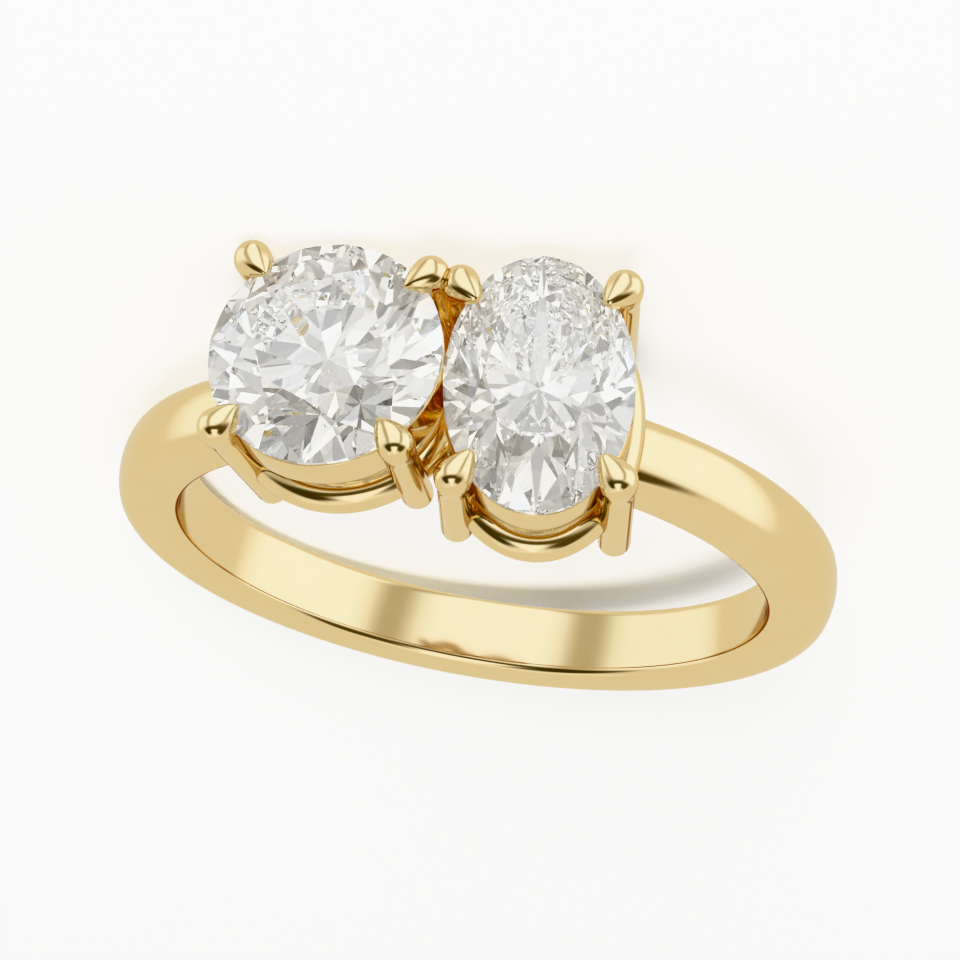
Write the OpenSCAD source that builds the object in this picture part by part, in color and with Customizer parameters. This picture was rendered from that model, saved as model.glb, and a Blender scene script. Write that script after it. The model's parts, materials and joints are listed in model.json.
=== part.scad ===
// Toi et moi ring: a plain domed shank that carries a round and an oval brilliant,
// each in its own four-claw basket. The ring lies on its side, as it rests by itself.
// The shapes are drawn upright, with the finger along Y and the stones towards +Z,
// and the last section works out how the finished ring lies down.

/* [Shank] */
// Inside diameter, a US size 7
finger_d = 17.3; // [15.5:0.1:20]
// Width of the shank along the finger
shank_w = 2.2; // [2:0.1:3.2]
// Thickness of the shank at the middle of its dome
shank_t = 1.9; // [1.6:0.05:2.4]
// Radius of the shank's domed outer face
dome_r = 2; // [1.7:0.1:4]
// Radius that rounds the outer face into the sides
side_r = 0.7; // [0.5:0.05:0.8]
// Radius that rounds the edges of the finger hole
inner_r = 0.3; // [0.1:0.05:0.4]

/* [Round stone] */
// Diameter of the round stone
round_d = 6.5; // [5.5:0.1:6.8]
// Height of its crown above the girdle
round_crown = 1; // [0.7:0.05:1.2]
// Depth of its pavilion below the girdle
round_pavilion = 2.7; // [2.2:0.05:2.9]

/* [Oval stone] */
// Width of the oval stone, across the finger
oval_w = 5.2; // [4.6:0.1:5.5]
// Length of the oval stone, along the finger
oval_l = 7.4; // [6.4:0.1:8]
// Height of its crown above the girdle
oval_crown = 0.9; // [0.6:0.05:1.1]
// Depth of its pavilion below the girdle
oval_pavilion = 2.3; // [1.9:0.05:2.6]

/* [Cut of the stones] */
// Table as a share of the stone's width
table_share = 0.57; // [0.5:0.01:0.65]
// Thickness of the girdle
girdle_t = 0.2; // [0.16:0.01:0.3]

/* [Heads] */
// Height of the round stone's girdle above the middle of the finger
round_up = 13; // [12.8:0.1:14]
// How much lower the oval stone's girdle sits than the round one's
oval_drop = 0.2; // [0:0.05:0.4]
// Gap between the two girdles, seen from above
stone_gap = 0.06; // [0.05:0.01:0.3]
// Distance from the middle of the finger to that gap, towards the oval stone
gap_off = 0.35; // [0:0.05:0.6]
// Outward lean of the round head
round_lean = 6; // [0:0.5:8]
// Outward lean of the oval head
oval_lean = 5; // [0:0.5:8]
// Lean of the round head along the finger
round_tip = 2; // [0:0.5:3]
// Turn of the oval head about its own axis
oval_turn = 8; // [0:0.5:10]
// Gap between a stone and the metal that holds it
seat_gap = 0.03; // [0.02:0.01:0.06]

/* [Baskets] */
// Height of the upper rail
rail_h = 1.4; // [1:0.05:1.6]
// Bevel round the rail's lower edge
rail_bevel = 0.2; // [0.1:0.05:0.3]
// Distance from the middle of the girdle down to the upper rail
rail_drop = 0.12; // [0.1:0.01:0.2]
// Thickness of the upper rail
rail_t = 0.5; // [0.4:0.05:0.7]
// Diameter of the lower ring's wire
ring_wire_d = 1.1; // [0.8:0.05:1.2]
// Distance from the girdle down to the middle of the lower ring
ring_drop = 2.95; // [2.8:0.05:3.2]
// Distance that the round head's lower ring is set in from the girdle
round_ring_inset = 0.41; // [0.3:0.01:0.6]
// Distance that the oval head's lower ring is set in from the girdle
oval_ring_inset = 0.24; // [0.2:0.01:0.5]

/* [Claws] */
// Diameter of the straight posts
post_d = 0.92; // [0.8:0.02:1.1]
// Distance from the girdle down to the end of each inner post
post_drop = 4.3; // [4.1:0.05:4.5]
// How much further down the outer posts go, beside the shank
outer_post_more = 0.8; // [0:0.05:1]
// Diameter of the domes on the posts
dome_d = 1.06; // [0.92:0.02:1.2]
// Height of the middle of the domes above the girdle
dome_up = 0.2; // [0.1:0.05:0.3]
// Height of a claw's small end above the middle of its dome
tip_rise = 0.28; // [0.2:0.02:0.4]
// Diameter of the small end of the round head's claws
round_tip_d = 0.24; // [0.2:0.02:0.4]
// Reach of the round head's claws over the stone, from the middle of the dome
round_tip_reach = 0.68; // [0.6:0.02:0.9]
// Diameter of the small end of the oval head's claws
oval_tip_d = 0.4; // [0.2:0.02:0.5]
// Reach of the oval head's claws over the stone, from the middle of the dome
oval_tip_reach = 0.6; // [0.56:0.02:0.9]
// Distance from the girdle out to the domes of the round head
round_dome_out = 0.31; // [0.25:0.01:0.5]
// Distance from the girdle in to the feet of the round head
round_foot_in = 0.13; // [0:0.01:0.3]
// Distance from the girdle out to the domes of the oval head
oval_dome_out = 0.4; // [0.25:0.01:0.5]
// Distance from the girdle out to the feet of the oval head
oval_foot_out = 0.33; // [0:0.01:0.4]
// Place of the round head's claws, from the cross axis of the stone
round_claw_angle = 45; // [40:1:50]
// Place of the oval head's claws, from the cross axis of the stone
oval_claw_angle = 43.5; // [38:0.5:50]

/* [Hidden] */
$fn = 96;
gold = [0.87, 0.70, 0.40];
clear_stone = [0.93, 0.94, 0.96];

finger_r = finger_d / 2;
bore_l = 4 * shank_w;
post_r = post_d / 2;
dome_radius = dome_d / 2;
wire_r = ring_wire_d / 2;
foot_down = post_drop - post_r;
round_half = round_d / 2;
oval_half_w = oval_w / 2;
oval_half_l = oval_l / 2;
oval_up = round_up - oval_drop;

// Middle of each girdle: the near edges of the two leaning stones are stone_gap apart
round_at = [gap_off - stone_gap / 2 - round_half * cos(round_lean), 0, round_up];
oval_at = [gap_off + stone_gap / 2 + oval_half_w * cos(oval_lean), 0, oval_up];

// Facets of a brilliant, as shares of the girdle's radius
MAINS = 8;
STEP = 360 / MAINS;
HALF_STEP = STEP / 2;
ARC = 4;
GIRDLE = 2 * ARC * MAINS;
star_at = 0.76;
lower_at = 0.23;

// Profile of the shank: middle of the dome's circle, and of the circles at its sides
half_w = shank_w / 2;
dome_mid = shank_t - dome_r;
side_x = half_w - side_r;
side_y = dome_mid + sqrt(pow(dome_r - side_r, 2) - side_x * side_x);
dome_angle = atan2(side_x, side_y - dome_mid);

// Height at x, y of the plane through three points
function plane_z(a, b, c, x, y) =
    let (n = cross(b - a, c - a))
    a.z - (n.x * (x - a.x) + n.y * (y - a.y)) / n.z;

// Point at a share r of the girdle's radius
function polar(r, angle, z) = [r * cos(angle), r * sin(angle), z];

// Height of the girdle's edge: the break facets dip it between the main facets
function girdle_z(k, inner_r_share, inner_z, z) =
    let (
        main = STEP * round(k / (2 * ARC)),
        half = HALF_STEP + STEP * floor(k / (2 * ARC)),
        angle = k * 360 / GIRDLE
    )
    k % ARC == 0 ? z : plane_z(
        polar(inner_r_share, half, inner_z), polar(1, half, z), polar(1, main, z),
        cos(angle), sin(angle));

function stone_points(w, l, crown, pavilion) =
    let (
        top = girdle_t / 2,
        star_z = top + crown - (star_at * cos(HALF_STEP) - table_share) * crown / (1 - table_share),
        lower_z = -top - (1 - lower_at * cos(HALF_STEP)) * pavilion,
        shares = concat(
            [for (i = [0:MAINS - 1]) polar(table_share, i * STEP, top + crown)],
            [for (i = [0:MAINS - 1]) polar(star_at, i * STEP + HALF_STEP, star_z)],
            [for (k = [0:GIRDLE - 1])
                polar(1, k * 360 / GIRDLE, girdle_z(k, star_at, star_z, top))],
            [for (k = [0:GIRDLE - 1])
                polar(1, k * 360 / GIRDLE, girdle_z(k, lower_at, lower_z, -top))],
            [for (i = [0:MAINS - 1]) polar(lower_at, i * STEP + HALF_STEP, lower_z)],
            [[0, 0, -top - pavilion]])
    )
    [for (p = shares) [p.x * w, p.y * l, p.z]];

// Numbers of the points in stone_points
function star(i) = MAINS + (i + MAINS) % MAINS;
function upper(k) = 2 * MAINS + (k + GIRDLE) % GIRDLE;
function lower(k) = 2 * MAINS + GIRDLE + (k + GIRDLE) % GIRDLE;
function under(i) = 2 * MAINS + 2 * GIRDLE + (i + MAINS) % MAINS;
CULET = 3 * MAINS + 2 * GIRDLE;

function stone_faces() = concat(
    [[for (i = [MAINS - 1:-1:0]) i]],
    [for (i = [0:MAINS - 1]) [i, (i + 1) % MAINS, star(i)]],
    [for (i = [0:MAINS - 1]) [i, star(i), upper(2 * ARC * i), star(i - 1)]],
    [for (i = [0:MAINS - 1]) for (side = [0, 1])
        concat([star(i)], [for (k = [ARC:-1:0]) upper(2 * ARC * i + ARC * side + k)])],
    [for (k = [0:GIRDLE - 1]) [upper(k), upper(k + 1), lower(k + 1), lower(k)]],
    [for (i = [0:MAINS - 1]) for (side = [0, 1])
        concat([under(i)], [for (k = [0:ARC]) lower(2 * ARC * i + ARC * side + k)])],
    [for (i = [0:MAINS - 1]) [CULET, under(i - 1), lower(2 * ARC * i), under(i)]]);

module brilliant(w, l, crown, pavilion) {
    polyhedron(stone_points(w, l, crown, pavilion), stone_faces(), convexity = 4);
}

// Point of a stone's outline, moved out at right angles to it
function outline(w, l, angle, out) =
    let (n = [cos(angle) / w, sin(angle) / l])
    [w * cos(angle), l * sin(angle)] + out * n / norm(n);

SEGMENTS = 40;
ROUND_STEPS = 8;
// Share of the outline that is left at the pointed foot of a stone's room
ROOM_FOOT = 0.03;
// Turn of a claw about its own line, which keeps its seam off the post's
SEAM_TURN = 33;

// Solid between rings that follow the outline, given as [share, z] from the bottom up
module stacked_rings(w, l, rows) {
    last = len(rows) - 1;
    points = [for (row = rows) for (s = [0:SEGMENTS - 1])
        let (a = s * 360 / SEGMENTS) [row[0] * w * cos(a), row[0] * l * sin(a), row[1]]];
    faces = concat(
        [[for (s = [0:SEGMENTS - 1]) s]],
        [[for (s = [SEGMENTS - 1:-1:0]) last * SEGMENTS + s]],
        [for (row = [0:last - 1]) for (s = [0:SEGMENTS - 1])
            let (next = (s + 1) % SEGMENTS, base = row * SEGMENTS)
            [base + next, base + s, base + SEGMENTS + s, base + SEGMENTS + next]]);
    polyhedron(points, faces, convexity = 4);
}

// Profile of [out, z] points carried round an oval
module oval_ring(w, l, profile) {
    sides = len(profile);
    points = [for (s = [0:SEGMENTS - 1]) for (q = profile)
        let (p = outline(w, l, s * 360 / SEGMENTS, q[0])) [p.x, p.y, q[1]]];
    faces = [for (s = [0:SEGMENTS - 1]) for (j = [0:sides - 1])
        let (here = s * sides, next = ((s + 1) % SEGMENTS) * sides, k = (j + 1) % sides)
        [here + j, here + k, next + k, next + j]];
    polyhedron(points, faces, convexity = 6);
}

WIRE_SIDES = 12;
rail_profile = [
    [-rail_t, -rail_drop - rail_h], [-rail_bevel, -rail_drop - rail_h],
    [0, -rail_drop - rail_h + rail_bevel], [0, -rail_drop], [-rail_t, -rail_drop]];
oval_wire_profile = [for (j = [0:WIRE_SIDES - 1])
    let (a = j * 360 / WIRE_SIDES)
    [-oval_ring_inset + wire_r * cos(a), -ring_drop + wire_r * sin(a)]];

// Room for a stone, with the seat's gap all round: [share, z] from the bottom up
function room_rows(crown, pavilion) = [
    [ROOM_FOOT, -girdle_t / 2 - pavilion - seat_gap],
    [1, -girdle_t / 2 - seat_gap],
    [1, girdle_t / 2 + seat_gap],
    [table_share, girdle_t / 2 + crown + seat_gap]];

module round_room() {
    w = round_half + seat_gap;
    rows = room_rows(round_crown, round_pavilion);
    rotate_extrude() polygon(concat(
        [[0, rows[0][1]]],
        [for (row = rows) [row[0] * w, row[1]]],
        [[0, rows[len(rows) - 1][1]]]));
}

module oval_room() {
    stacked_rings(oval_half_w + seat_gap, oval_half_l + seat_gap,
        room_rows(oval_crown, oval_pavilion));
}

// Turns Z to point along v
module along(v) {
    rotate([0, acos(v.z / norm(v)), atan2(v.y, v.x)]) children();
}

// Points of an arc about a middle, ends included
function arc(mid, r, from, to, steps) = [for (i = [0:steps])
    let (a = from + (to - from) * i / steps)
    mid + r * [cos(a), sin(a)]];

// Post with a round foot at the origin, up Z
module post(length) {
    sphere(post_r);
    cylinder(r = post_r, h = length);
}

// Ball drawn out along Z to the side of a smaller ball that stands at the reach
module drawn_out(radius, end_radius, reach) {
    lean = asin((radius - end_radius) / reach);
    from = radius * sin(lean);
    to = reach + end_radius * sin(lean);
    sphere(radius);
    translate([0, 0, from])
        cylinder(r1 = radius * cos(lean), r2 = end_radius * cos(lean), h = to - from);
}

// Dome drawn out along Z to a small round end, with sides that curve in like a bud's
module claw(reach, tip_radius) {
    side_radius = (reach * reach + dome_radius * dome_radius - tip_radius * tip_radius)
        / (dome_radius - tip_radius) / 2;
    half_way = reach / 2;
    half_radius = side_radius - norm([side_radius - dome_radius, half_way]);
    drawn_out(dome_radius, half_radius, half_way);
    translate([0, 0, half_way]) drawn_out(half_radius, tip_radius, half_way);
    translate([0, 0, reach]) sphere(tip_radius);
}

function dome_point(w, l, angle, out) =
    let (p = outline(w, l, angle, out)) [p.x, p.y, dome_up];

// The outer posts of a head go further down along their own line; side is -1 or 1
function foot_point(w, l, angle, dome_out, foot_out, side) =
    let (
        p = outline(w, l, angle, foot_out),
        foot = [p.x, p.y, -foot_down],
        more = side * cos(angle) > 0 ? outer_post_more : 0
    )
    foot + (foot - dome_point(w, l, angle, dome_out)) * more / (foot_down + dome_up);

// Side of each head that faces away from the other one
ROUND_SIDE = -1;
OVAL_SIDE = 1;

function claw_places(angle) = [angle, 180 - angle, 180 + angle, -angle];

// Posts with their claws, which point to the middle of the stone
module claws(w, l, angle, dome_out, foot_out, side, reach, tip_radius) {
    for (place = claw_places(angle)) {
        dome = dome_point(w, l, place, dome_out);
        foot = foot_point(w, l, place, dome_out, foot_out, side);
        inward = -[dome.x, dome.y] / norm([dome.x, dome.y]);
        tip = [reach * inward.x, reach * inward.y, tip_rise];
        translate(foot) along(dome - foot) post(norm(dome - foot));
        translate(dome) along(tip) rotate([0, 0, SEAM_TURN]) claw(norm(tip), tip_radius);
    }
}

module round_basket() {
    rotate_extrude() translate([round_half, 0]) polygon(rail_profile);
    rotate_extrude() translate([round_half - round_ring_inset, -ring_drop]) circle(wire_r);
    claws(round_half, round_half, round_claw_angle, round_dome_out, -round_foot_in,
        ROUND_SIDE, round_tip_reach, round_tip_d / 2);
}

module oval_basket() {
    oval_ring(oval_half_w, oval_half_l, rail_profile);
    oval_ring(oval_half_w, oval_half_l, oval_wire_profile);
    claws(oval_half_w, oval_half_l, oval_claw_angle, oval_dome_out, oval_foot_out,
        OVAL_SIDE, oval_tip_reach, oval_tip_d / 2);
}

module place_round() {
    translate(round_at) rotate([0, -round_lean, 0]) rotate([-round_tip, 0, 0]) children();
}

module place_oval() {
    translate(oval_at) rotate([0, oval_lean, 0]) rotate([0, 0, oval_turn]) children();
}

// Half of the profile is mirrored: flat inside, rounded edges, domed outside
module shank_profile() {
    edge = concat(
        arc([inner_r, half_w - inner_r], inner_r, 180, 90, ROUND_STEPS),
        arc([side_y, side_x], side_r, 90, dome_angle, ROUND_STEPS),
        arc([dome_mid, 0], dome_r, dome_angle, 0, ROUND_STEPS));
    last = len(edge) - 1;
    polygon(concat(edge, [for (i = [last - 1:-1:0]) [edge[i].x, -edge[i].y]]));
}

module shank() {
    rotate([90, 0, 0]) rotate_extrude() translate([finger_r, 0]) shank_profile();
}

module finger_hole() {
    rotate([90, 0, 0]) cylinder(r = finger_r, h = bore_l, center = true);
}

module upright_mount() {
    difference() {
        union() {
            shank();
            place_round() round_basket();
            place_oval() oval_basket();
        }
        place_round() round_room();
        place_oval() oval_room();
        finger_hole();
    }
}

// How the ring lies down. It rests on three places: a rim of the shank and the back of
// each basket. A reach is how far a piece goes in a direction d from the middle of the
// finger, and the pitch and roll are found at which the three reach the floor alike.

function turn_x(a, v) = [v.x, v.y * cos(a) - v.z * sin(a), v.y * sin(a) + v.z * cos(a)];
function turn_y(a, v) = [v.x * cos(a) + v.z * sin(a), v.y, v.z * cos(a) - v.x * sin(a)];
function turn_z(a, v) = [v.x * cos(a) - v.y * sin(a), v.x * sin(a) + v.y * cos(a), v.z];

function shank_reach(d) =
    (finger_r + side_y) * norm([d.x, d.z]) + side_x * abs(d.y) + side_r;

// Reach of an oval moved out, at a height z
function oval_edge_reach(w, l, out, z, d) =
    norm([w * d.x, l * d.y]) + out * norm([d.x, d.y]) + z * d.z;

function basket_reach(w, l, angle, dome_out, foot_out, side, ring_inset, crown, d) =
    max(concat(
    [
        oval_edge_reach(w, l, 0, -rail_drop, d),
        oval_edge_reach(w, l, 0, -rail_drop - rail_h + rail_bevel, d),
        oval_edge_reach(w, l, -rail_bevel, -rail_drop - rail_h, d),
        oval_edge_reach(w, l, 0, girdle_t / 2, d),
        oval_edge_reach(w, l, -ring_inset, -ring_drop, d) + wire_r
    ],
    [for (i = [0:MAINS - 1])
        let (p = polar(table_share, i * STEP, girdle_t / 2 + crown))
        [p.x * w, p.y * l, p.z] * d],
    [for (place = claw_places(angle)) dome_point(w, l, place, dome_out) * d + dome_radius],
    [for (place = claw_places(angle)) foot_point(w, l, place, dome_out, foot_out, side) * d + post_r]));

function round_reach(d) = round_at * d + basket_reach(
    round_half, round_half, round_claw_angle, round_dome_out, -round_foot_in, ROUND_SIDE,
    round_ring_inset, round_crown,
    turn_x(round_tip, turn_y(round_lean, d)));

function oval_reach(d) = oval_at * d + basket_reach(
    oval_half_w, oval_half_l, oval_claw_angle, oval_dome_out, oval_foot_out, OVAL_SIDE,
    oval_ring_inset, oval_crown,
    turn_z(-oval_turn, turn_y(-oval_lean, d)));

function reach(d) = max(shank_reach(d), round_reach(d), oval_reach(d));

// Direction of the floor from the upright ring
function floor_way(pitch, roll) =
    [sin(roll), cos(roll) * cos(pitch), -cos(roll) * sin(pitch)];

// Steepest pitch and roll that the search looks at, and how often it halves its range
MOST_PITCH = 30;
MOST_ROLL = 15;
HALVINGS = 30;

function level_pitch(roll, low = 0, high = MOST_PITCH, left = HALVINGS) =
    let (middle = (low + high) / 2, d = floor_way(middle, roll))
    left == 0 ? middle :
    max(round_reach(d), oval_reach(d)) > shank_reach(d) ?
        level_pitch(roll, middle, high, left - 1) :
        level_pitch(roll, low, middle, left - 1);

function level_roll(low = -MOST_ROLL, high = MOST_ROLL, left = HALVINGS) =
    let (middle = (low + high) / 2, d = floor_way(level_pitch(middle), middle))
    left == 0 ? middle :
    oval_reach(d) > round_reach(d) ?
        level_roll(low, middle, left - 1) :
        level_roll(middle, high, left - 1);

rest_roll = level_roll();
down = floor_way(level_pitch(rest_roll), rest_roll);
heads_way = [0, 0, 1] - down.z * down;
rest_z = -down;
rest_y = -heads_way / norm(heads_way);
rest_x = cross(rest_y, rest_z);
rest_at = [
    (reach(-rest_x) - reach(rest_x)) / 2,
    (reach(-rest_y) - reach(rest_y)) / 2,
    reach(down)];

// Lays the upright ring on its back, with the middle of its box over the origin
module lie_down() {
    multmatrix([
        [rest_x.x, rest_x.y, rest_x.z, rest_at.x],
        [rest_y.x, rest_y.y, rest_y.z, rest_at.y],
        [rest_z.x, rest_z.y, rest_z.z, rest_at.z]])
        children();
}

module ring_mount() {
    color(gold) lie_down() upright_mount();
}

module round_stone() {
    color(clear_stone)
        lie_down()
            place_round() brilliant(round_half, round_half, round_crown, round_pavilion);
}

module oval_stone() {
    color(clear_stone)
        lie_down()
            place_oval() brilliant(oval_half_w, oval_half_l, oval_crown, oval_pavilion);
}

ring_mount();
round_stone();
oval_stone();
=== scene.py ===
import json
from collections import namedtuple
from math import asin, atan2, cos, hypot, pi, radians, sin, sqrt

import bmesh
import bpy
from mathutils import Matrix, Vector


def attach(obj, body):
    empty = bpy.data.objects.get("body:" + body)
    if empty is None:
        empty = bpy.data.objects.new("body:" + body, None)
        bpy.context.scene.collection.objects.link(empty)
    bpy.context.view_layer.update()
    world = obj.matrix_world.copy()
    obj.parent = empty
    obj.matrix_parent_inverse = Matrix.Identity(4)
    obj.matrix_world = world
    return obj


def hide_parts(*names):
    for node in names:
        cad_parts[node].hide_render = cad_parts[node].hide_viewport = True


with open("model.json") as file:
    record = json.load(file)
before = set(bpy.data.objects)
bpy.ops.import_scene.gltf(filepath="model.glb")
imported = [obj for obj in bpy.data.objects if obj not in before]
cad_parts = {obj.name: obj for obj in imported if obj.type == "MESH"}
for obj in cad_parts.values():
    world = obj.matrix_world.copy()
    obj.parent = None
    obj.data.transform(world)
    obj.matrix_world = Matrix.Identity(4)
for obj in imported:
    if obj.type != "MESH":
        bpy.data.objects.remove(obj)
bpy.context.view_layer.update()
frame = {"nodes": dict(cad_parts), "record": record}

# The ring is shaped upright, with the finger along Y and the stones towards Z, in
# millimetres and with the sizes of the part's source. Points closer than WELD are one.
MM = 0.001
WELD = 1e-5

# Shank: radius of the finger hole, width, thickness, and the radii of the domed outer
# face, of its sides and of the hole's edges
FINGER_R = 8.65
SHANK_W = 2.2
SHANK_T = 1.9
DOME_R = 2.0
SIDE_R = 0.7
INNER_R = 0.3

# Stones: half widths and lengths, places, leans, and what their cuts share
ROUND_HALF = 3.25
OVAL_HALF_W = 2.6
OVAL_HALF_L = 3.7
ROUND_UP = 13.0
OVAL_UP = 12.8
ROUND_LEAN = radians(6)
OVAL_LEAN = radians(5)
ROUND_TIP = radians(2)
OVAL_TURN = radians(8)
GAP_OFF = 0.35
STONE_GAP = 0.06
TABLE_SHARE = 0.57
GIRDLE_HALF = 0.1
SEAT_GAP = 0.03

# Upper rails, a little finer than the source's: their seat slopes under the stone, and
# their edges are rounded
RAIL_H = 1.4
RAIL_DROP = 0.14
RAIL_T = 0.5
SEAT_SLOPE = 0.9
RAIL_EDGE = 0.08
RAIL_BEVEL = 0.22

# Lower rings
WIRE_R = 0.55
RING_DROP = 2.95

# Posts, each swelling into its dome over the length of CLAW_FLARE, and claws, which keep
# their dome's roundness up to CLAW_SHOULDER
POST_R = 0.46
FOOT_DOWN = 3.84
OUTER_POST_MORE = 0.8
DOME_UP = 0.2
CLAW_R = 0.53
CLAW_FLARE = 0.9
CLAW_SHOULDER = radians(18)
TIP_RISE = 0.28

# Steps all the way round each turned form
SHANK_STEPS = 360
HEAD_STEPS = 192
POST_STEPS = 48
WIRE_STEPS = 32

# Polished gold: its two tints, its tint at grazing angles, and the speckle between them
GOLD_DEEP = (0.962, 0.745, 0.368)
GOLD_BRIGHT = (0.972, 0.762, 0.390)
GOLD_GRAZING = (0.99, 0.94, 0.80)
GOLD_SMOOTHEST = 0.09
GOLD_ROUGHEST = 0.13
SPECKLES_PER_METRE = 900.0

# Diamond
DIAMOND_TINT = (1.0, 0.988, 0.962)
DIAMOND_GRAZING = (1.0, 0.88, 0.70)
DIAMOND_IOR = 2.417

# Floor, from its middle to its edge, and the lamps that light it: place, size of the
# square and power, in metres and watts
FLOOR_HALF = 1.5
LAMPS = (
    ("overhead", (-0.02, -0.21, 0.40), 0.26, 2.6),
    ("low_front", (-0.03, -0.49, 0.13), 0.14, 9.0))

# The studio that the gold mirrors: pale walls, and before them an overhead light, a grey
# front, three bright panels, three dark gaps and a bright patch high in front. Each has
# its turn from the front, its rise from the floor and the softness of its edge, in degrees.
WALLS = (0.80, 0.80, 0.80)
PANELS = (
    (-88, 115, 48, 120, 8, (0.92, 0.96, 1.02)),
    (-50, 54, -75, 14, 8, (0.54, 0.52, 0.49)),
    (-27, 28, -75, 14, 9, (1.45, 1.66, 2.15)),
    (-104, -48, -44, 16, 9, (1.50, 1.72, 2.20)),
    (50, 104, -40, 8, 9, (1.2, 1.35, 1.68)),
    (-32, 42, 20, 42, 7, (0.10, 0.08, 0.05)),
    (32, 72, 18, 62, 9, (0.05, 0.04, 0.02)),
    (-78, -26, 24, 64, 9, (0.09, 0.07, 0.04)),
    (-17, 25, 44, 86, 6, (1.45, 1.6, 1.95)))

# Painted shade in narrow gaps: light that has gone from wall to wall of a narrow gap is made weak
# and red. These are the count of walls at which it starts to fade and has faded, and what is left
# of it
GAP_WALLS = (1.1, 3.0)
GAP_LIGHT = (0.20, 0.07, 0.04)

# Light that the floor takes from all round
FLOOR_LIGHT = (0.36, 0.35, 0.33)

# What the stones show is a room of bright and grey things, of about a facet's size: the
# share of them that is darker than each grey, their warmest and coolest tint, and the
# light on them, for the stones and for the metal that a stone mirrors
ROOM_SCALE = 5.0
ROOM_GREYS = ((0.0, 0.07), (0.25, 0.27), (0.5, 0.39), (0.75, 0.50), (0.95, 0.95), (1.0, 1.0))
ROOM_WARM = (1.05, 1.0, 0.90)
ROOM_COOL = (1.0, 1.0, 0.98)
ROOM_LIGHT = (1.66, 1.66, 1.66)
METAL_IN_STONE = (1.1, 1.38, 2.2)

# How often light is followed from facet to facet and from wall to wall
BOUNCES = 48

# Camera, from a fit to outlines measured in the photo: its directions and the middle of
# the finger hole as it sees it, both for the upright ring, and its focal length in pixels
VIEW_RIGHT = Vector((0.979719, 0.176023, -0.095741))
VIEW_DOWN = Vector((0.131284, -0.924856, -0.356940))
VIEW_AHEAD = Vector((-0.151377, 0.337132, -0.929208))
HOLE_SEEN_AT = Vector((-0.08604, 1.61136, 168.56669))
FOCAL_PIXELS = 5807.78
PHOTO_PIXELS = 960
SENSOR_W = 36

# How the upright ring is laid down, on the axis of its finger hole
bore = frame["record"]["mounts"][0]
finger_way = -Vector(bore["axis"]).normalized()
heads_way = Vector((0, finger_way.z, -finger_way.y)).normalized()
across_way = finger_way.cross(heads_way)
LIE_DOWN = Matrix((across_way, finger_way, heads_way)).transposed().to_4x4()
LIE_DOWN = Matrix.Translation(Vector(bore["pos_m"])) @ LIE_DOWN @ Matrix.Scale(MM, 4)

# A head's numbers are its stone's size, how far its lower ring is set in, the angle of its
# claws, the side where its outer posts are, how far its domes and feet stand out from the
# stone's edge, and the reach and end radius of its claws
Head = namedtuple("Head", "name half_w half_l crown pavilion ring_in claw_angle outer_side "
                          "dome_out foot_out tip_reach tip_r place")

ROUND_AT = Vector((GAP_OFF - STONE_GAP / 2 - ROUND_HALF * cos(ROUND_LEAN), 0, ROUND_UP))
ROUND_HEAD = Head(
    name="round", half_w=ROUND_HALF, half_l=ROUND_HALF, crown=1.0, pavilion=2.7,
    ring_in=0.41, claw_angle=radians(45), outer_side=-1, dome_out=0.31, foot_out=-0.13,
    tip_reach=0.68, tip_r=0.12,
    place=Matrix.Translation(ROUND_AT) @ Matrix.Rotation(-ROUND_LEAN, 4, "Y")
    @ Matrix.Rotation(-ROUND_TIP, 4, "X"))

OVAL_AT = Vector((GAP_OFF + STONE_GAP / 2 + OVAL_HALF_W * cos(OVAL_LEAN), 0, OVAL_UP))
OVAL_HEAD = Head(
    name="oval", half_w=OVAL_HALF_W, half_l=OVAL_HALF_L, crown=0.9, pavilion=2.3,
    ring_in=0.24, claw_angle=radians(43.5), outer_side=1, dome_out=0.4, foot_out=0.33,
    tip_reach=0.6, tip_r=0.2,
    place=Matrix.Translation(OVAL_AT) @ Matrix.Rotation(OVAL_LEAN, 4, "Y")
    @ Matrix.Rotation(OVAL_TURN, 4, "Z"))


def add_piece(name, bm, place=Matrix.Identity(4)):
    """Makes a lying gold piece from a mesh shaped upright in millimetres."""
    bmesh.ops.remove_doubles(bm, verts=bm.verts, dist=WELD)
    bmesh.ops.recalc_face_normals(bm, faces=bm.faces)
    bmesh.ops.transform(bm, matrix=LIE_DOWN @ place, verts=bm.verts)
    mesh = bpy.data.meshes.new(name)
    bm.to_mesh(mesh)
    bm.free()
    for face in mesh.polygons:
        face.use_smooth = True
    piece = bpy.data.objects.new(name, mesh)
    bpy.context.scene.collection.objects.link(piece)
    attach(piece, "root")
    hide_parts("ring_mount")
    return piece


def outline(head, angle, out):
    """Point of a stone's outline, moved out at right angles to it."""
    n = Vector((cos(angle) / head.half_w, sin(angle) / head.half_l, 0)).normalized()
    return Vector((head.half_w * cos(angle), head.half_l * sin(angle), 0)) + out * n


def fit_to_outline(bm, head):
    """Turns a ring that was spun round a unit circle into one that follows the stone."""
    for v in bm.verts:
        p = outline(head, atan2(v.co.y, v.co.x), hypot(v.co.x, v.co.y) - 1)
        v.co = Vector((p.x, p.y, v.co.z))


def spin_round(bm, axis, steps):
    """Spins a profile all the way round an axis through the middle."""
    bmesh.ops.spin(bm, geom=bm.verts[:] + bm.edges[:], cent=(0, 0, 0), axis=axis,
                   dvec=(0, 0, 0), angle=2 * pi, steps=steps, use_merge=True)


def arc(bm, start, middle, axis, angle, steps):
    """Draws an arc of edges from a point, and returns its last vertex."""
    v = bm.verts.new(start)
    made = bmesh.ops.spin(bm, geom=[v], cent=middle, axis=axis, dvec=(0, 0, 0),
                          angle=angle, steps=steps, use_merge=False)
    return made["geom_last"][0]


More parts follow.
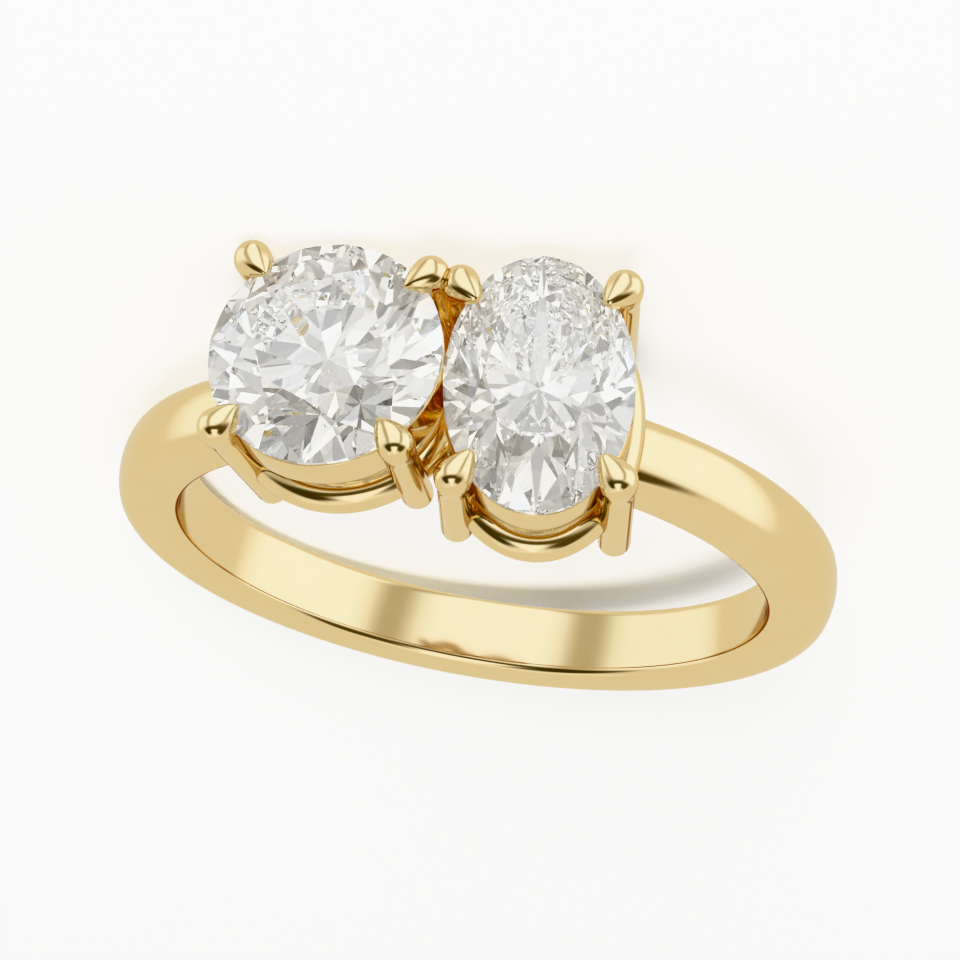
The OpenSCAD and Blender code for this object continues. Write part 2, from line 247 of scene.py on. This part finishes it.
def shank():
    """A band, flat inside and domed outside, spun round the finger."""
    bm = bmesh.new()
    half = SHANK_W / 2
    dome_mid = SHANK_T - DOME_R
    side_y = half - SIDE_R
    side_x = dome_mid + sqrt((DOME_R - SIDE_R) ** 2 - side_y ** 2)
    turn = atan2(side_y, side_x - dome_mid)
    arc(bm, (FINGER_R + SHANK_T, 0, 0), (FINGER_R + dome_mid, 0, 0), (0, 0, 1), turn, steps=12)
    shoulder = (dome_mid + DOME_R * cos(turn) + FINGER_R, DOME_R * sin(turn), 0)
    side = arc(bm, shoulder, (FINGER_R + side_x, side_y, 0), (0, 0, 1), pi / 2 - turn, steps=10)
    edge = bm.verts.new((FINGER_R + INNER_R, half, 0))
    bm.edges.new((side, edge))
    inside = arc(bm, edge.co, (FINGER_R + INNER_R, half - INNER_R, 0), (0, 0, 1), pi / 2, steps=6)
    bm.edges.new((inside, bm.verts.new((FINGER_R, 0, 0))))
    bmesh.ops.mirror(bm, geom=bm.verts[:] + bm.edges[:], axis="Y", merge_dist=WELD)
    bmesh.ops.remove_doubles(bm, verts=bm.verts, dist=WELD)
    spin_round(bm, (0, 1, 0), SHANK_STEPS)
    return add_piece("shank", bm)


def rail(head):
    """The band under the girdle, with rounded edges and a slanting seat for the stone."""
    bm = bmesh.new()
    corners = [bm.verts.new((1 + x, 0, z)) for x, z in (
        (-RAIL_T, -RAIL_DROP - RAIL_H), (0, -RAIL_DROP - RAIL_H),
        (0, -RAIL_DROP), (-RAIL_T, -RAIL_DROP - RAIL_T * SEAT_SLOPE))]
    for i, v in enumerate(corners):
        bm.edges.new((v, corners[(i + 1) % 4]))
    lower_edge = corners.pop(1)
    for edge, offset in ((corners, RAIL_EDGE), ([lower_edge], RAIL_BEVEL)):
        bmesh.ops.bevel(bm, geom=edge, offset=offset, segments=5, profile=0.5,
                        affect="VERTICES", material=-1)
    spin_round(bm, (0, 0, 1), HEAD_STEPS)
    fit_to_outline(bm, head)
    return add_piece(head.name + "_rail", bm, head.place)


def lower_ring(head):
    """The wire that ties the posts together."""
    bm = bmesh.new()
    bmesh.ops.create_circle(bm, segments=WIRE_STEPS, radius=WIRE_R, matrix=(
        Matrix.Translation((1 - head.ring_in, 0, -RING_DROP)) @ Matrix.Rotation(pi / 2, 4, "X")))
    spin_round(bm, (0, 0, 1), HEAD_STEPS)
    fit_to_outline(bm, head)
    return add_piece(head.name + "_lower_ring", bm, head.place)


def add_rod(bm, made, start, end):
    """Spins a profile up Z into a rod, and stands it on start, pointing to end."""
    bmesh.ops.remove_doubles(made, verts=made.verts, dist=WELD)
    spin_round(made, (0, 0, 1), POST_STEPS)
    way = (end - start).normalized().to_track_quat("Z", "Y").to_matrix().to_4x4()
    bmesh.ops.transform(made, matrix=Matrix.Translation(start) @ way, verts=made.verts)
    mesh = bpy.data.meshes.new("made")
    made.to_mesh(mesh)
    made.free()
    bm.from_mesh(mesh)
    bpy.data.meshes.remove(mesh)


def add_post(bm, foot, top):
    """A round post with a round foot, which swells a little into its dome."""
    made = bmesh.new()
    length = (top - foot).length
    swell = CLAW_R - POST_R
    bend_r = (CLAW_FLARE ** 2 + swell ** 2) / (4 * swell)
    bend = asin(CLAW_FLARE / 2 / bend_r)
    low = length - CLAW_FLARE
    arc(made, (0, 0, -POST_R), (0, 0, 0), (0, -1, 0), pi / 2, steps=8)
    straight = made.verts.new((POST_R, 0, 0))
    made.edges.new((straight, made.verts.new((POST_R, 0, low))))
    mid = arc(made, (POST_R, 0, low), (POST_R + bend_r, 0, low), (0, 1, 0), bend, steps=5)
    rim = arc(made, mid.co, (CLAW_R - bend_r, 0, length), (0, -1, 0), bend, steps=5)
    made.edges.new((rim, made.verts.new((0, 0, length))))
    add_rod(bm, made, foot, top)


def add_claw(bm, dome, tip, tip_r):
    """A dome drawn out to a small round end over the stone, with sides like a bud's."""
    made = bmesh.new()
    reach = (tip - dome).length
    rise = sin(CLAW_SHOULDER)
    side_r = ((CLAW_R ** 2 - tip_r ** 2 + reach ** 2 - 2 * CLAW_R * reach * rise)
              / (CLAW_R - tip_r - reach * rise) / 2)
    side_mid = Vector(((CLAW_R - side_r) * cos(CLAW_SHOULDER), 0, (CLAW_R - side_r) * rise))
    turn = atan2(reach - side_mid.z, -side_mid.x)
    shoulder = arc(made, (0, 0, -CLAW_R), (0, 0, 0), (0, -1, 0), pi / 2 + CLAW_SHOULDER, steps=18)
    end = arc(made, shoulder.co, side_mid, (0, -1, 0), turn - CLAW_SHOULDER, steps=12)
    arc(made, end.co, (0, 0, reach), (0, -1, 0), pi / 2 - turn, steps=6)
    add_rod(bm, made, dome, tip)


def notch(bm, head):
    """Moves what would stand in the stone out to its edge, or up onto its crown."""
    edge = GIRDLE_HALF + SEAT_GAP
    for v in bm.verts:
        share = hypot(v.co.x / (head.half_w + SEAT_GAP), v.co.y / (head.half_l + SEAT_GAP))
        if v.co.z > edge:
            limit = 1 - (v.co.z - edge) * (1 - TABLE_SHARE) / head.crown
        else:
            limit = min(1, 1 + (v.co.z + edge) / head.pavilion)
        if share >= limit or v.co.z > edge + head.crown:
            continue
        lift = edge + head.crown * (1 - share) / (1 - TABLE_SHARE) - v.co.z
        if v.co.z > 0 and lift < (limit - share) * head.half_w:
            v.co.z += lift
        else:
            v.co.x *= limit / share
            v.co.y *= limit / share


def claws(head):
    """Four posts with their claws. The outer two go further down, beside the shank."""
    bm = bmesh.new()
    angle = head.claw_angle
    for at in (angle, pi - angle, pi + angle, -angle):
        dome = outline(head, at, head.dome_out) + Vector((0, 0, DOME_UP))
        foot = outline(head, at, head.foot_out) - Vector((0, 0, FOOT_DOWN))
        if head.outer_side * cos(at) > 0:
            foot += (foot - dome) * OUTER_POST_MORE / (FOOT_DOWN + DOME_UP)
        inward = -Vector((dome.x, dome.y, 0)).normalized()
        tip = dome + head.tip_reach * inward + Vector((0, 0, TIP_RISE))
        add_post(bm, foot, dome)
        add_claw(bm, dome, tip, head.tip_r)
    notch(bm, head)
    return add_piece(head.name + "_claws", bm, head.place)


def new_material(name):
    mat = bpy.data.materials.new(name)
    mat.use_nodes = True
    return mat, mat.node_tree.nodes["Principled BSDF"]


def polished_gold():
    """Gold with a fine speckle in its tint and its shine, as polishing leaves it."""
    mat, shader = new_material("polished_gold")
    nodes, links = mat.node_tree.nodes, mat.node_tree.links
    shader.inputs["Metallic"].default_value = 1.0
    shader.inputs["Specular Tint"].default_value = (*GOLD_GRAZING, 1)
    where = nodes.new("ShaderNodeTexCoord")
    speckle = nodes.new("ShaderNodeTexNoise")
    speckle.inputs["Scale"].default_value = SPECKLES_PER_METRE
    speckle.inputs["Detail"].default_value = 3.0
    links.new(where.outputs["Object"], speckle.inputs["Vector"])
    tint = nodes.new("ShaderNodeValToRGB")
    deep, bright = tint.color_ramp.elements
    deep.position = 0.35
    deep.color = (*GOLD_DEEP, 1)
    bright.position = 0.7
    bright.color = (*GOLD_BRIGHT, 1)
    links.new(speckle.outputs["Fac"], tint.inputs["Fac"])
    links.new(tint.outputs["Color"], shader.inputs["Base Color"])
    shine = nodes.new("ShaderNodeMapRange")
    shine.inputs["From Min"].default_value = 0.3
    shine.inputs["From Max"].default_value = 0.7
    shine.inputs["To Min"].default_value = GOLD_SMOOTHEST
    shine.inputs["To Max"].default_value = GOLD_ROUGHEST
    links.new(speckle.outputs["Fac"], shine.inputs["Value"])
    links.new(shine.outputs["Result"], shader.inputs["Roughness"])
    return mat


def diamond():
    """A clear stone with polished facets."""
    mat, shader = new_material("diamond")
    shader.inputs["Base Color"].default_value = (*DIAMOND_TINT, 1)
    shader.inputs["Specular Tint"].default_value = (*DIAMOND_GRAZING, 1)
    shader.inputs["Roughness"].default_value = 0.0
    shader.inputs["IOR"].default_value = DIAMOND_IOR
    shader.inputs["Transmission Weight"].default_value = 1.0
    return mat


def floor():
    """A plain pale floor, which the gold and the stones don't show."""
    bm = bmesh.new()
    bmesh.ops.create_grid(bm, x_segments=1, y_segments=1, size=FLOOR_HALF)
    mesh = bpy.data.meshes.new("floor")
    bm.to_mesh(mesh)
    bm.free()
    sheet = bpy.data.objects.new("floor", mesh)
    bpy.context.scene.collection.objects.link(sheet)
    mat, shader = new_material("floor")
    shader.inputs["Base Color"].default_value = (0.9, 0.9, 0.9, 1)
    shader.inputs["Roughness"].default_value = 0.6
    shader.inputs["Specular IOR Level"].default_value = 0.2
    sheet.data.materials.append(mat)
    sheet.visible_glossy = sheet.visible_transmission = False


def lamp(name, at, size, power):
    """A soft square lamp that lights the floor, and that the ring doesn't mirror."""
    light = bpy.data.lights.new(name, "AREA")
    light.size = size
    light.energy = power
    stand = bpy.data.objects.new(name, light)
    stand.location = at
    stand.rotation_euler = (-Vector(at)).to_track_quat("-Z", "Y").to_euler()
    stand.visible_camera = stand.visible_glossy = stand.visible_transmission = False
    bpy.context.scene.collection.objects.link(stand)


def feed(tree, socket, value):
    """Gives a socket a number, a colour or what another node puts out."""
    if isinstance(value, (int, float)):
        socket.default_value = value
    elif isinstance(value, tuple):
        socket.default_value = (*value, 1)[:len(socket.default_value)]
    else:
        tree.links.new(value, socket)


def calc(tree, operation, *values):
    """Works out one value from others."""
    node = tree.nodes.new("ShaderNodeMath")
    node.operation = operation
    for socket, value in zip(node.inputs, values):
        feed(tree, socket, value)
    return node.outputs["Value"]


def climb(tree, value, start, end):
    """Goes softly from 0 to 1 as value goes from start to end."""
    node = tree.nodes.new("ShaderNodeMapRange")
    node.interpolation_type = "SMOOTHSTEP"
    feed(tree, node.inputs["Value"], value)
    feed(tree, node.inputs["From Min"], start)
    feed(tree, node.inputs["From Max"], end)
    return node.outputs["Result"]


def band(tree, value, low, high, soft):
    """Mask that is 1 where value lies between low and high, with soft edges."""
    return calc(tree, "MULTIPLY", climb(tree, value, low - soft, low + soft),
                climb(tree, value, high + soft, high - soft))


def tinted(tree, colour, tint):
    """Multiplies a colour by a tint."""
    node = tree.nodes.new("ShaderNodeVectorMath")
    node.operation = "MULTIPLY"
    feed(tree, node.inputs[0], colour)
    feed(tree, node.inputs[1], tint)
    return node.outputs["Vector"]


def blend(tree, share, one, other):
    """Goes from one colour to the other as share goes from 0 to 1."""
    node = tree.nodes.new("ShaderNodeMix")
    node.data_type = "RGBA"
    colour_sockets = [socket for socket in node.inputs if socket.type == "RGBA"]
    feed(tree, node.inputs["Factor"], share)
    feed(tree, colour_sockets[0], one)
    feed(tree, colour_sockets[1], other)
    return [socket for socket in node.outputs if socket.type == "RGBA"][0]


def panel_light(tree, way):
    """Soft panels in front of the ring and at its sides, with dark gaps over them."""
    split = tree.nodes.new("ShaderNodeSeparateXYZ")
    tree.links.new(way, split.inputs["Vector"])
    rise = calc(tree, "DEGREES", calc(tree, "ARCSINE", split.outputs["Z"]))
    backward = calc(tree, "MULTIPLY", split.outputs["Y"], -1.0)
    turn = calc(tree, "DEGREES", calc(tree, "ARCTAN2", split.outputs["X"], backward))
    light = WALLS
    for turn_from, turn_to, rise_from, rise_to, soft, colour in PANELS:
        mask = calc(tree, "MULTIPLY", band(tree, turn, turn_from, turn_to, soft),
                    band(tree, rise, rise_from, rise_to, soft))
        light = blend(tree, mask, light, colour)
    return light


def room_light(tree, way):
    """The bright and grey things of a room, each of which fills about one facet."""
    room = tree.nodes.new("ShaderNodeTexVoronoi")
    room.inputs["Scale"].default_value = ROOM_SCALE
    tree.links.new(way, room.inputs["Vector"])
    things = tree.nodes.new("ShaderNodeSeparateColor")
    tree.links.new(room.outputs["Color"], things.inputs["Color"])
    tone = tree.nodes.new("ShaderNodeValToRGB")
    steps = tone.color_ramp.elements
    steps.remove(steps[1])
    for share, grey in ROOM_GREYS:
        step = steps.new(share) if share > 0 else steps[0]
        step.color = (grey, grey, grey, 1)
    tree.links.new(things.outputs["Red"], tone.inputs["Fac"])
    tint = blend(tree, things.outputs["Green"], ROOM_WARM, ROOM_COOL)
    return tinted(tree, tinted(tree, tint, tone.outputs["Color"]), ROOM_LIGHT)


def studio():
    """What each kind of light path meets when it leaves the ring."""
    world = bpy.data.worlds.new("studio")
    bpy.context.scene.world = world
    world.use_nodes = True
    tree = world.node_tree
    way = tree.nodes.new("ShaderNodeTexCoord").outputs["Generated"]
    path = tree.nodes.new("ShaderNodeLightPath").outputs
    shown = room_light(tree, way)
    # Painted shade: light met after more than one glossy bounce is dimmed and reddened, which
    # darkens the narrow gaps between the gold's walls
    painted_gap_shade = blend(tree, climb(tree, path["Glossy Depth"], *GAP_WALLS), (1.0, 1.0, 1.0), GAP_LIGHT)
    light = tinted(tree, panel_light(tree, way), painted_gap_shade)
    through = calc(tree, "GREATER_THAN", path["Transmission Depth"], 0.5)
    light = blend(tree, through, light, tinted(tree, shown, METAL_IN_STONE))
    light = blend(tree, path["Is Transmission Ray"], light, shown)
    light = blend(tree, path["Is Diffuse Ray"], light, FLOOR_LIGHT)
    tree.links.new(light, tree.nodes["Background"].inputs["Color"])
    for name, at, size, power in LAMPS:
        lamp(name, at, size, power)


def camera():
    """The photo's view, which keeps its angle to the ring as the ring lies down."""
    at = -(VIEW_RIGHT * HOLE_SEEN_AT.x + VIEW_DOWN * HOLE_SEEN_AT.y + VIEW_AHEAD * HOLE_SEEN_AT.z)
    turn = Matrix((VIEW_RIGHT, -VIEW_DOWN, -VIEW_AHEAD)).transposed().to_4x4()
    place = LIE_DOWN @ Matrix.Translation(at) @ turn
    lens = bpy.data.cameras.new("camera")
    lens.sensor_width = SENSOR_W
    lens.lens = FOCAL_PIXELS * SENSOR_W / PHOTO_PIXELS
    lens.clip_start = 0.01
    cam = bpy.data.objects.new("camera", lens)
    cam.matrix_world = Matrix.LocRotScale(place.to_translation(), place.to_quaternion(), None)
    bpy.context.scene.collection.objects.link(cam)
    bpy.context.scene.camera = cam


pieces = [shank()]
for head in (ROUND_HEAD, OVAL_HEAD):
    pieces += [rail(head), lower_ring(head), claws(head)]
gold = polished_gold()
for piece in pieces:
    piece.data.materials.append(gold)
    # The photo's stones show light alone, and no metal
    piece.visible_transmission = False

gem = diamond()
for name in ("round_stone", "oval_stone"):
    stone = frame["nodes"][name]
    stone.data.materials.clear()
    stone.data.materials.append(gem)

floor()
studio()
camera()
bpy.context.scene.view_settings.view_transform = "Khronos PBR Neutral"
cycles = bpy.context.scene.cycles
cycles.max_bounces = cycles.glossy_bounces = cycles.transmission_bounces = BOUNCES
